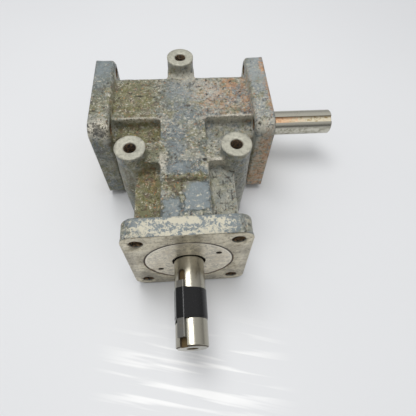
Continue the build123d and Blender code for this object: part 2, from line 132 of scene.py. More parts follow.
class Bench:
    """One material, or the world, and the nodes that make it."""

    def __init__(self, name: str, world: bpy.types.World | None = None) -> None:
        """Start an empty node tree.

        Args:
            name: Name of the finish.
            world: World to work on instead of a new material.
        """
        self.material = world or bpy.data.materials.new(name)
        self.material.use_nodes = True
        self.tree = self.material.node_tree
        self.tree.nodes.clear()
        place = self.node("ShaderNodeTexCoord", output="Generated" if world else "Object")
        self.place = self.vector("SCALE", place, factor=1.0 if world else 1 / MM)
        parts = self.node("ShaderNodeSeparateXYZ", inputs={0: self.place})
        outputs = parts.socket.node.outputs
        self.x, self.y, self.z = (Signal(self, outputs[i]) for i in range(3))

    def node(
        self,
        kind: str,
        settings: dict[str, Any] | None = None,
        inputs: dict[Any, Value] | None = None,
        output: Any = 0,
    ) -> Signal:
        """Add a node of any kind.

        Args:
            kind: Blender's name of the node type.
            settings: Properties set before the sockets.
            inputs: Values or signals by socket name or place.
            output: Name or place of the output that is handed back.

        Returns:
            That output as a signal.
        """
        made = self.tree.nodes.new(kind)
        for key, value in (settings or {}).items():
            setattr(made, key, value)
        for key, value in (inputs or {}).items():
            socket = made.inputs[key]
            if isinstance(value, Signal):
                self.tree.links.new(value.socket, socket)
            elif socket.type == "RGBA" and len(value) == 3:
                socket.default_value = (*value, 1.0)
            else:
                socket.default_value = value
        return Signal(self, made.outputs[output])

    def maths(self, operation: str, first: Value, second: Value = 0.0) -> Signal:
        """Result of a Math node on two values."""
        return self.node("ShaderNodeMath", {"operation": operation}, {0: first, 1: second})

    def vector(
        self, operation: str, first: Value, second: Value = None, factor: float = 1.0
    ) -> Signal:
        """Result of a Vector Math node.

        Args:
            operation: Blender's name of the operation.
            first: First vector.
            second: Second vector, for operations that take one.
            factor: Scale, for the scaling operation.

        Returns:
            The vector that comes out.
        """
        inputs: dict[Any, Value] = {0: first}
        if second is not None:
            inputs[1] = second
        if operation == "SCALE":
            inputs["Scale"] = factor
        return self.node("ShaderNodeVectorMath", {"operation": operation}, inputs)

    def ramp(self, value: Value, low: float, high: float) -> Signal:
        """A soft step.

        Args:
            value: Value that is judged.
            low: Value where the step is still 0.
            high: Value where it has reached 1; it may be below low.

        Returns:
            The step's height, from 0 to 1.
        """
        settings = {"interpolation_type": "SMOOTHSTEP", "clamp": True}
        inputs = {0: value, 1: low, 2: high, 3: 0.0, 4: 1.0}
        return self.node("ShaderNodeMapRange", settings, inputs)

    def blend(self, share: Value, first: Value, second: Value) -> Signal:
        """Mix two colours.

        Args:
            share: Share of the second colour, from 0 to 1.
            first: First colour.
            second: Second colour.

        Returns:
            The mixed colour.
        """
        settings = {"data_type": "RGBA", "clamp_factor": True}
        return self.node("ShaderNodeMix", settings, {0: share, 6: first, 7: second}, 2)

    def shade(self, colour: Value, level: Value) -> Signal:
        """Darken or lighten a colour.

        Args:
            colour: The colour.
            level: Number that its channels are multiplied by.

        Returns:
            The shaded colour.
        """
        grey = self.node("ShaderNodeCombineColor", inputs={0: level, 1: level, 2: level})
        settings = {"data_type": "RGBA", "blend_type": "MULTIPLY"}
        return self.node("ShaderNodeMix", settings, {0: 1.0, 6: colour, 7: grey}, 2)

    def noise(
        self,
        size: float,
        detail: float = 3.0,
        roughness: float = 0.6,
        seed: float = 0.0,
        stretch: Colour = (1.0, 1.0, 1.0),
        warp: float = 0.0,
    ) -> Signal:
        """Cloudy noise from 0 to 1.

        Args:
            size: Size of its clouds in millimetres.
            detail: Number of finer layers.
            roughness: Strength of the finer layers.
            seed: Moves the pattern.
            stretch: Scale of the pattern along each axis.
            warp: How much the clouds are twisted.

        Returns:
            The noise value.
        """
        stretched = self.vector("MULTIPLY", self.place, stretch)
        inputs = {
            "Vector": self.vector("ADD", stretched, (seed, seed * 1.7, -seed)),
            "Scale": 1 / size,
            "Detail": detail,
            "Roughness": roughness,
            "Distortion": warp,
        }
        return self.node("ShaderNodeTexNoise", {"normalize": True}, inputs)

    def most(self, *masks: Value) -> Signal:
        """Largest of several masks.

        Args:
            *masks: The masks.

        Returns:
            The largest value at each place.
        """
        top = masks[0]
        for mask in masks[1:]:
            top = self.maths("MAXIMUM", top, mask)
        return top

    def away(self, first: Signal, second: Signal, at: tuple[float, float] = (0.0, 0.0)) -> Signal:
        """Distance from a line along the third axis.

        Args:
            first: Place along one axis.
            second: Place along another axis.
            at: Where the line crosses them.

        Returns:
            The distance.
        """
        a = first - at[0]
        b = second - at[1]
        return (a * a + b * b) ** 0.5

    def bump(
        self, height: Value, depth: float, strength: float = 1.0, normal: Signal | None = None
    ) -> Signal:
        """Normal of a surface with relief.

        Args:
            height: Height in shares of the depth.
            depth: Depth of the relief in millimetres.
            strength: Share of the relief that counts.
            normal: Normal of the coarser relief below this one.

        Returns:
            The new normal.
        """
        inputs: dict[Any, Value] = {"Height": height, "Distance": depth * MM, "Strength": strength}
        if normal is not None:
            inputs["Normal"] = normal
        return self.node("ShaderNodeBump", {}, inputs)

    def finish(
        self,
        colour: Value,
        roughness: Value,
        metallic: Value = 0.0,
        normal: Signal | None = None,
        **fixed: float,
    ) -> bpy.types.Material:
        """Close the material with one surface shader.

        Args:
            colour: Base colour.
            roughness: Roughness.
            metallic: Metallic share.
            normal: Normal, if the surface has relief.
            **fixed: Numbers for further sockets, with _ for each space in a name.

        Returns:
            The finished material.
        """
        inputs: dict[Any, Value] = {
            "Base Color": colour,
            "Roughness": roughness,
            "Metallic": metallic,
        }
        if normal is not None:
            inputs["Normal"] = normal
        for key, value in fixed.items():
            inputs[key.replace("_", " ")] = value
        shader = self.node("ShaderNodeBsdfPrincipled", {}, inputs)
        out = self.tree.nodes.new("ShaderNodeOutputMaterial")
        self.tree.links.new(shader.socket, out.inputs["Surface"])
        return self.material


class Grain(Enum):
    """Way in which a machined surface was cut."""

    TURNED = "turned"
    GROUND = "ground"
    DRAWN = "drawn"


class Axis(Enum):
    """Line that a turned piece goes round."""

    FRONT = "front"
    RIGHT = "right"


@dataclass(frozen=True)
class CastingSizes:
    """Places on the casting, in millimetres, that its finish needs."""

    front_reach: float = 117.5
    side_reach: float = 63.5
    flange_thick: float = 13.7
    boss_height: float = 39.5
    boss_hole_r: float = 3.97
    cap_r: float = 28.45
    bolt_half_spacing: float = 29.5
    bolt_hole_r: float = 4.2
    bosses: tuple[tuple[float, float], ...] = ((-34.2, 62.9), (34.2, 62.9), (0.0, 150.9))
    screw_pitch: float = 1.5875


@dataclass(frozen=True)
class Patch:
    """A ragged patch on the casting, in millimetres."""

    centre: Colour
    reach: Colour
    strength: float = 1.0
    soft: float = 0.4
    ragged: float = 2.4
    square: bool = False


@dataclass(frozen=True)
class CastGrain:
    """Fields over the casting that its paint, dirt and relief share."""

    lumps: Signal
    sand: Signal
    frayed: Signal
    sound: Signal
    cleaned: Signal
    calm: Signal


@dataclass(frozen=True)
class WornCasting:
    """Old blue-grey paint on cast iron, greasy on the left, rusty on the right."""

    sizes: CastingSizes = field(default_factory=CastingSizes)
    blue: Colour = srgb(117, 127, 130)
    grey: Colour = srgb(158, 159, 150)
    pale: Colour = srgb(184, 182, 166)
    dust: Colour = srgb(172, 177, 174)
    bare: Colour = srgb(222, 216, 200)
    washed: Colour = srgb(144, 144, 130)
    cream: Colour = srgb(202, 196, 175)
    film: Colour = srgb(127, 124, 78)
    hole: Colour = srgb(150, 116, 78)
    olive: Colour = srgb(120, 117, 66)
    brown: Colour = srgb(100, 82, 52)
    rust: Colour = srgb(192, 134, 82)
    dark: Colour = srgb(40, 34, 27)
    machined: Colour = srgb(212, 204, 182)
    faced_boss: Colour = srgb(167, 167, 154)
    stain: Colour = srgb(150, 141, 120)
    sound_paint: tuple[Patch, ...] = (
        Patch((6.8, 32.0, 29.0), (8.4, 10.6, 4.0), 1.0, 0.1, 1.3, True),
        Patch((-9.5, 22.5, 29.0), (6.5, 9.0, 4.0), 0.9, 0.3, 3.4),
        Patch((-4.0, 121.0, 30.5), (10.0, 13.0, 5.0), 0.6, 0.6, 3.4),
        Patch((3.0, 95.0, 30.5), (9.0, 12.0, 5.0), 0.45, 0.6, 3.4),
        Patch((-6.0, 72.0, 30.5), (7.0, 9.0, 5.0), 0.45, 0.6, 3.4),
        Patch((-3.0, 53.0, 30.5), (8.5, 5.0, 4.0), 0.75, 0.4, 3.4),
        Patch((58.0, 138.0, 38.4), (9.0, 20.0, 6.0), 0.75, 0.6),
        Patch((-58.0, 140.0, 38.4), (9.0, 19.0, 6.0), 0.95, 0.5),
        Patch((0.0, 7.0, 38.4), (36.0, 9.0, 4.0), 1.0, 0.3, 0.6),
    )
    grease: tuple[Patch, ...] = (
        Patch((-38.0, 118.0, 30.5), (25.0, 29.0, 9.0), 0.85, 0.6),
        Patch((-32.0, 88.0, 22.0), (22.0, 12.0, 12.0), 0.9, 0.3),
        Patch((-24.0, 36.0, 21.0), (10.0, 28.0, 7.5), 0.9, 0.25, 0.6),
        Patch((-24.0, 64.0, 30.5), (14.0, 12.0, 9.0), 0.7, 0.5),
        Patch((-7.0, 40.0, 29.0), (9.0, 6.0, 4.0), 0.85, 0.5),
        Patch((4.0, 45.0, 29.5), (15.0, 3.0, 4.0), 0.8, 0.5),
        Patch((-58.0, 105.0, 38.4), (8.0, 14.0, 9.0), 0.65, 0.7),
        Patch((-50.0, 60.0, 0.0), (16.0, 60.0, 26.0), 0.45, 0.5),
        Patch((58.0, 79.5, -6.0), (10.0, 10.0, 32.0), 0.8, 0.6, 6.0),
        # On the left boss column this patch is partly olive grease and partly painted shade on the
        # side away from the light.
        Patch((-34.2, 62.9, 8.0), (14.0, 14.0, 28.0), 0.9, 0.5),
        Patch((12.0, 78.0, 30.5), (10.0, 20.0, 4.0), 0.4, 0.8),
        Patch((34.0, 140.0, 30.5), (16.0, 8.0, 4.0), 0.4, 0.8),
        Patch((-12.0, 145.0, 30.5), (14.0, 6.0, 4.0), 0.4, 0.8),
    )
    rusted: tuple[Patch, ...] = (
        Patch((58.0, 80.0, -20.0), (12.0, 16.0, 22.0), 0.8, 0.6, 4.0),
        Patch((61.0, 79.0, 8.0), (8.0, 9.0, 22.0), 0.75, 0.7),
        Patch((46.5, 116.0, 31.0), (5.0, 24.0, 9.0), 0.6, 0.8, 4.0),
        Patch((28.0, 118.0, 30.5), (17.0, 22.0, 5.0), 0.55, 0.9),
        Patch((36.0, 131.0, 30.5), (9.0, 8.0, 5.0), 0.7, 0.7, 4.0),
        Patch((62.5, 140.0, 38.4), (2.6, 9.0, 8.0), 0.85, 0.6),
        Patch((63.0, 112.0, 37.0), (2.6, 30.0, 6.0), 0.6, 0.7),
        Patch((-22.0, 95.0, 28.0), (6.0, 3.0, 6.0), 0.5, 0.6),
        Patch((-24.0, 50.0, 22.0), (8.0, 8.0, 8.0), 0.35, 0.8),
    )
    clean_grey: tuple[Patch, ...] = (
        Patch((26.5, 36.0, 20.5), (9.5, 22.5, 6.0), 0.72, 0.12, 0.4, True),
        Patch((40.0, 62.9, 8.0), (14.0, 14.0, 29.0), 0.7, 0.4),
        Patch((31.0, 85.0, 21.0), (17.0, 12.0, 9.0), 0.55, 0.6),
        Patch((36.0, 8.0, 0.0), (8.0, 12.0, 46.0), 0.8, 0.4),
        Patch((22.0, 60.0, 30.0), (8.0, 3.5, 6.0), 0.7, 0.5),
        Patch((32.0, 94.5, 26.0), (16.0, 4.5, 6.0), 0.8, 0.5),
        Patch((0.0, 141.0, 12.0), (14.0, 8.0, 26.0), 0.5, 0.5),
    )
    dusty: tuple[Patch, ...] = (
        Patch((57.0, 115.0, 38.4), (10.0, 38.0, 7.0), 0.5, 0.6),
        Patch((15.0, 120.0, 30.5), (22.0, 14.0, 4.0), 0.35, 0.9),
        Patch((55.0, 79.5, 0.0), (14.0, 5.0, 34.0), 0.25, 0.8),
    )
    # Bare, shiny patches: worn paint on the flange corners, and painted highlights along the pocket
    # ridges and on the right pocket's walls.
    worn_bare_and_highlit: tuple[Patch, ...] = (
        Patch((-55.0, 80.0, 36.5), (10.0, 9.5, 8.5), 1.0, 0.45, 0.7),
        Patch((56.0, 81.0, 37.0), (9.0, 6.0, 6.0), 0.7, 0.6),
        Patch((-13.8, 57.0, 30.5), (2.6, 10.0, 4.0), 0.9, 0.5),
        Patch((22.5, 57.6, 29.0), (8.5, 2.0, 5.0), 1.0, 0.4, 0.6),
        Patch((16.0, 57.0, 29.5), (2.2, 8.0, 4.0), 0.7, 0.5),
        Patch((34.0, 96.6, 29.2), (18.0, 2.4, 3.2), 1.0, 0.4, 0.8),
        Patch((20.0, 92.5, 28.0), (3.2, 5.0, 6.0), 0.8, 0.5),
        Patch((30.0, 93.8, 26.5), (14.0, 4.0, 5.0), 0.75, 0.6),
        Patch((-32.0, 96.6, 29.4), (16.0, 1.8, 2.8), 0.8, 0.5, 0.9),
        Patch((9.0, 138.0, 30.5), (15.0, 8.0, 5.0), 0.45, 0.9),
        Patch((20.0, 125.0, 30.5), (12.0, 9.0, 5.0), 0.35, 0.9),
        Patch((58.0, 79.5, -8.0), (10.0, 10.0, 28.0), 0.45, 0.9, 9.0),
        Patch((28.0, 75.0, 30.0), (10.0, 2.0, 3.0), 0.6, 0.5),
    )
    gouges: tuple[Patch, ...] = (
        Patch((-30.8, 119.6, 30.5), (3.4, 0.7, 3.0), 1.0, 0.3, 0.8),
        Patch((13.6, 58.5, 30.5), (1.6, 1.4, 3.0), 1.0, 0.3, 0.6),
        Patch((4.5, 109.0, 30.5), (2.0, 1.3, 3.0), 0.8, 0.4, 0.9),
        Patch((30.0, 36.0, 21.0), (0.7, 3.2, 3.0), 0.9, 0.4, 0.9),
        Patch((25.0, 46.0, 21.0), (0.6, 2.4, 3.0), 0.9, 0.4, 0.9),
        Patch((28.5, 50.0, 21.0), (1.4, 0.8, 3.0), 0.9, 0.4, 0.9),
        Patch((31.0, 22.0, 21.0), (0.8, 2.0, 3.0), 0.9, 0.4, 0.9),
        Patch((22.5, 30.0, 21.0), (1.2, 0.7, 3.0), 0.8, 0.4, 0.9),
        Patch((-24.5, 56.0, 26.0), (2.0, 0.9, 6.0), 0.8, 0.4, 0.9),
        Patch((-56.0, 80.0, 37.0), (4.4, 3.6, 4.4), 0.8, 0.2, 8.0),
    )
    bared_tongue: Patch = Patch((-2.0, 13.5, 34.0), (9.0, 5.0, 9.0), 1.0, 0.5)
    bared_behind: Patch = Patch((2.0, 24.0, 29.0), (15.0, 12.0, 3.0), 1.0, 0.8)

    def spot(self, bench: Bench, patch: Patch, frayed: Signal) -> Signal:
        """A soft and ragged patch round a point.

        Args:
            bench: Material in the making.
            patch: The patch's place, size and edge.
            frayed: Noise about zero that frays its edge.

        Returns:
            The patch's strength inside it and 0 outside it.
        """
        away = bench.vector("SUBTRACT", bench.place, patch.centre)
        scaled = bench.vector("DIVIDE", away, patch.reach)
        if patch.square:
            parts = bench.node("ShaderNodeSeparateXYZ", inputs={0: scaled}).socket.node.outputs
            length = bench.most(*(abs(Signal(bench, parts[index])) for index in range(3)))
        else:
            settings = {"operation": "LENGTH"}
            length = bench.node("ShaderNodeVectorMath", settings, {0: scaled}, "Value")
        edge = length + frayed * patch.ragged
        return (1 - bench.ramp(edge, 1.0 - patch.soft, 1.0 + patch.soft)) * patch.strength

    def spots(self, bench: Bench, patches: tuple[Patch, ...], frayed: Signal) -> Signal:
        """All of several patches in one mask."""
        return bench.most(*(self.spot(bench, patch, frayed) for patch in patches))

    def paint(self, bench: Bench, grain: CastGrain) -> Signal:
        """Paint worn to grey primer on the high grain and to bare iron on the highest.

        Args:
            bench: Material in the making.
            grain: Fields over the casting.

        Returns:
            The colour of the paint.
        """
        mottle = bench.noise(13.0, 6.0, 0.68, seed=12, warp=0.5)
        worn = bench.ramp(mottle + (grain.lumps - 0.5) * 0.45 - grain.sound * 0.3, 0.45, 0.55)
        colour = bench.blend(worn, self.blue, self.grey)
        colour = bench.blend(self.spots(bench, self.dusty, grain.frayed), colour, self.dust)
        haze = bench.ramp(bench.noise(9.5, 6.0, 0.72, seed=77, warp=0.6), 0.50, 0.58)
        colour = bench.blend(haze * (1 - grain.sound) * 0.6, colour, self.film)
        lively = 1 - grain.calm * 0.85
        high = bench.ramp(grain.lumps * 0.5 + grain.sand * 0.6, 0.57, 0.64) * lively
        colour = bench.blend(high * 0.7, colour, self.pale)
        top = bench.ramp(grain.sand * 0.8 + grain.lumps * 0.25, 0.61, 0.645) * lively
        return bench.blend(top * 0.92, colour, self.bare)

    def dirt(self, bench: Bench, colour: Signal, grain: CastGrain) -> Signal:
        """Grease on the left, rust on the right and dark grit in the low grain.

        Args:
            bench: Material in the making.
            colour: Colour of the paint.
            grain: Fields over the casting.

        Returns:
            The colour with the dirt on it.
        """
        colour = bench.blend(grain.cleaned * 0.8, colour, self.washed)
        greasy = self.spots(bench, self.grease, grain.frayed)
        height = grain.lumps + (grain.sand - 0.5) * 0.8 - greasy * 0.2
        film = greasy * bench.ramp(height, 0.58, 0.42)
        tones = bench.blend(bench.ramp(grain.frayed + 0.5, 0.40, 0.5), self.brown, self.olive)
        colour = bench.blend(film * 0.85, colour, tones)
        rusty = self.spots(bench, self.rusted, grain.frayed)
        blots = bench.noise(3.4, 5.0, 0.78, seed=57, warp=0.5)
        bloom = bench.ramp(blots + rusty * 0.13, 0.53, 0.61)
        colour = bench.blend(bloom * rusty, colour, self.rust)
        lively = 1 - grain.calm * 0.8
        flecks = bench.ramp(bench.noise(1.9, 3.0, 0.7, seed=93), 0.615, 0.655)
        colour = bench.blend(flecks * 0.85 * lively, colour, self.rust)
        low = bench.ramp(grain.lumps * 0.6 + grain.sand * 0.5, 0.52, 0.44) * lively
        colour = bench.blend(low * 0.6, colour, self.brown)
        scars = bench.noise(3.2, 5.0, 0.8, seed=88, stretch=(1.0, 0.55, 1.0), warp=1.0)
        thread = bench.noise(4.2, 3.0, 0.6, seed=61, warp=1.2)
        gate = bench.ramp(bench.noise(6.0, 3.0, 0.6, seed=64), 0.50, 0.60)
        lines = (1 - bench.ramp(abs(thread - 0.5), 0.004, 0.016)) * gate * lively
        colour = bench.blend(lines * 0.7, colour, self.bare)
        cracks = (1 - bench.ramp(abs(thread - 0.56), 0.004, 0.018)) * lively
        colour = bench.blend(cracks * 0.6, colour, self.dark)
        pits = bench.ramp(grain.sand * 0.8 + grain.lumps * 0.3, 0.485, 0.435)
        pits = pits * (1 - grain.calm * 0.85)
        scored = bench.ramp(scars, 0.46, 0.425) * bench.ramp(grain.cleaned, 0.3, 0.6)
        pits = bench.most(pits, scored, self.spots(bench, self.gouges, grain.frayed))
        return bench.blend(pits * 0.88, colour, self.dark)

    def chips(self, bench: Bench, colour: Signal) -> Signal:
        """Cream undercoat, bared along the top of the front flange and scattered behind it.

        Args:
            bench: Material in the making.
            colour: Colour of the dirty paint.

        Returns:
            The colour with the undercoat in it.
        """
        flake = bench.noise(2.2, 6.0, 0.78, seed=71, warp=0.4)
        island = bench.noise(7.0, 4.0, 0.65, seed=44)
        top = bench.ramp(bench.z, 34.6, 37.4)
        middle = 1 - bench.ramp(abs(bench.x + 3), 22.0, 33.0) * 0.6
        band = top * (1 - bench.ramp(bench.y, 9.5, 13.2)) * middle
        tongue = self.spot(bench, self.bared_tongue, flake - 0.5)
        behind = self.spot(bench, self.bared_behind, flake - 0.5)
        amount = band * 0.1 + tongue * 0.085 + behind * 0.03
        bared = bench.ramp(flake * 0.7 + island * 0.3 + amount, 0.575, 0.605)
        return bench.blend(bared * 0.94, colour, self.cream)

    def grain(self, bench: Bench) -> CastGrain:
        """Lay the fields that the paint, the dirt and the relief share.

        Args:
            bench: Material in the making.

        Returns:
            The fields.
        """
        frayed = bench.noise(5.0, 6.0, 0.72, seed=31, warp=0.4) - 0.5
        normal = bench.node("ShaderNodeNewGeometry", output="Normal")
        up = bench.node("ShaderNodeSeparateXYZ", inputs={0: normal}, output=2)
        steep = 1 - bench.ramp(abs(up), 0.25, 0.75)
        sound = self.spots(bench, self.sound_paint, frayed)
        cleaned = self.spots(bench, self.clean_grey, frayed)
        return CastGrain(
            lumps=bench.noise(4.2, 6.0, 0.74, seed=5, warp=0.5),
            sand=bench.noise(1.7, 4.0, 0.7, seed=23, warp=0.4),
            frayed=frayed,
            sound=sound,
            cleaned=cleaned,
            calm=bench.most(sound, cleaned * 0.9, steep * 0.6),
        )

    def worn_edges(self, bench: Bench, frayed: Signal) -> Signal:
        """Edges where handling has worn the paint off.

        Args:
            bench: Material in the making.
            frayed: Noise about zero that frays them.

        Returns:
            The mask of the edges.
        """
        bevel = bench.node("ShaderNodeBevel", {"samples": 6}, {"Radius": 0.9 * MM})
        geometry = bench.node("ShaderNodeNewGeometry", output="Normal")
        settings = {"operation": "DOT_PRODUCT"}
        dot = bench.node("ShaderNodeVectorMath", settings, {0: bevel, 1: geometry}, "Value")
        return bench.ramp(1 - dot + frayed * 0.25, 0.03, 0.12)

    def machined_faces(self, bench: Bench) -> Signal:
        """Find the faces that were cut after casting.

        Args:
            bench: Material in the making.

        Returns:
            Their mask.
        """
        s = self.sizes
        front = 1 - bench.ramp(bench.y, 0.05, 0.15)
        sides = bench.ramp(abs(bench.x), s.side_reach - 0.15, s.side_reach - 0.05)
        tops = bench.ramp(abs(bench.z), s.boss_height - 0.9, s.boss_height - 0.75)
        return bench.most(front, sides, tops)

    def hole_shade(self, bench: Bench) -> Signal:
        """Find the walls of the bolt holes and tapped holes, and the cap grooves, which are painted
        dark brown: partly grime, partly painted shade.

        Args:
            bench: Material in the making.

        Returns:
            Their mask.
        """
        s = self.sizes
        corner = (s.bolt_half_spacing, s.bolt_half_spacing)
        front = bench.away(abs(bench.x), abs(bench.z), corner)
        near = 1 - bench.ramp(front, s.bolt_hole_r + 0.02, s.bolt_hole_r + 0.08)
        masks = [near * bench.ramp(bench.y, 0.3, 1.2) * (1 - bench.ramp(bench.y, 13.0, 13.6))]
        across = bench.away(abs(bench.y - s.front_reach), abs(bench.z), corner)
        near = 1 - bench.ramp(across, s.bolt_hole_r + 0.02, s.bolt_hole_r + 0.08)
        outer = 1 - bench.ramp(abs(bench.x), s.side_reach - 1.2, s.side_reach - 0.3)
        back = s.side_reach - s.flange_thick
        inner = bench.ramp(abs(bench.x), back + 0.1, back + 0.7)
        masks.append(near * outer * inner)
        for place in s.bosses:
            hole = bench.away(bench.x, bench.y, place)
            inside = 1 - bench.ramp(hole, s.boss_hole_r + 0.05, s.boss_hole_r + 0.12)
            below = 1 - bench.ramp(abs(bench.z), s.boss_height - 0.9, s.boss_height - 0.4)
            masks.append(inside * below)
        groove = abs(bench.away(bench.x, bench.z) - s.cap_r)
        masks.append((1 - bench.ramp(groove, 0.35, 0.7)) * (1 - bench.ramp(bench.y, 1.0, 1.5)))
        groove = abs(bench.away(bench.y, bench.z, (s.front_reach, 0.0)) - s.cap_r)
        outside = bench.ramp(abs(bench.x), s.side_reach - 1.5, s.side_reach - 1.0)
        masks.append((1 - bench.ramp(groove, 0.35, 0.7)) * outside)
        return bench.most(*masks)

    def turning_marks(self, bench: Bench) -> Signal:
        """Fine rings that the facing cutter left round each boss's hole.

        Args:
            bench: Material in the making.

        Returns:
            The rings' height, from -1 to 1.
        """
        rings = None
        for place in self.sizes.bosses:
            away = bench.away(bench.x, bench.y, place)
            near = 1 - bench.ramp(away, 11.0, 12.0)
            wave = bench.maths("SINE", away * 9.0) * near
            rings = wave if rings is None else rings + wave
        return rings

    def threads(self, bench: Bench) -> Signal:
        """Screw thread on the walls of the tapped holes.

        Args:
            bench: Material in the making.

        Returns:
            The thread's height, from -1 to 1.
        """
        wave = None
        for x, y in self.sizes.bosses:
            a = bench.x - x
            b = bench.y - y
            away = (a * a + b * b) ** 0.5
            wall = self.sizes.boss_hole_r
            inside = 1 - bench.ramp(away, wall + 0.05, wall + 0.12)
            turn = bench.maths("ARCTAN2", b, a)
            angle = bench.z * (2 * math.pi / self.sizes.screw_pitch) + turn
            ridge = bench.maths("SINE", angle) * inside
            wave = ridge if wave is None else wave + ridge
        return wave

    def faced(self, bench: Bench) -> Signal:
        """Warm grey of the machined faces, with old oil and scuffs.

        Args:
            bench: Material in the making.

        Returns:
            Their colour.
        """
        smudge = bench.noise(15.0, 5.0, 0.62, seed=3)
        scuff = bench.noise(2.4, 5.0, 0.75, seed=8)
        colour = bench.blend(bench.ramp(smudge, 0.45, 0.58) * 0.6, self.machined, self.stain)
        colour = bench.blend(bench.ramp(scuff, 0.53, 0.62) * 0.5, colour, self.bare)
        return bench.blend(bench.ramp(scuff, 0.45, 0.37) * 0.55, colour, self.brown)

    def make(self) -> bpy.types.Material:
        """Build the finish.

        Returns:
            The material of the housing.
        """
        bench = Bench("worn_casting")
        grain = self.grain(bench)
        cut = self.machined_faces(bench)
        holes = self.hole_shade(bench)
        edges = self.worn_edges(bench, grain.frayed)
        painted = self.dirt(bench, self.paint(bench, grain), grain)
        painted = self.chips(bench, painted)
        worn_bare_and_highlit = self.spots(bench, self.worn_bare_and_highlit, grain.frayed)
        solid = bench.ramp(grain.lumps * 0.5 + grain.sand * 0.5, 0.45, 0.5)
        # Worn edges and these patches are lightened towards bare iron: real wear, and a painted
        # highlight on the pocket ridges and walls.
        wear_and_highlight = bench.most(edges * 0.5, worn_bare_and_highlit * bench.most(solid, grain.cleaned * 0.8))
        scratched = self.spots(bench, self.gouges, grain.frayed)
        painted = bench.blend(wear_and_highlight * (1 - scratched) * 0.85, painted, self.bare)
        boss = bench.ramp(abs(bench.z), self.sizes.boss_height - 0.9, self.sizes.boss_height - 0.75)
        faced = bench.blend(boss * 0.8, self.faced(bench), self.faced_boss)
        fine = bench.ramp(grain.sand, 0.38, 0.5) * 0.22
        coarse = bench.ramp(grain.lumps, 0.42, 0.58) * 0.12
        faced = bench.shade(faced, fine + coarse + 0.74)
        colour = bench.blend(cut, painted, faced)
        # Hole walls and cap grooves take dark brown: partly grime, partly painted shade in the
        # recesses.
        grime_and_shade = bench.blend(bench.ramp(grain.sand, 0.42, 0.56), self.dark, self.hole)
        colour = bench.blend(holes * 0.9, colour, grime_and_shade)
        relief = grain.lumps * 0.65 + grain.sand * 0.35
        cast = bench.bump(relief * (1 - cut) * (1 - grain.calm * 0.6), 2.6, 1.0)
        marks = bench.bump(self.turning_marks(bench) * cut, 0.006, 0.5, cast)
        normal = bench.bump(self.threads(bench), 0.35, 1.0, marks)
        rough = 0.36 - wear_and_highlight * 0.08 - cut * 0.02 + boss * 0.2 + grain.frayed * 0.5
        metallic = bench.most(cut * 0.8 - boss * 0.5, wear_and_highlight * 0.55) * (1 - holes)
        return bench.finish(colour, rough, metallic, normal)


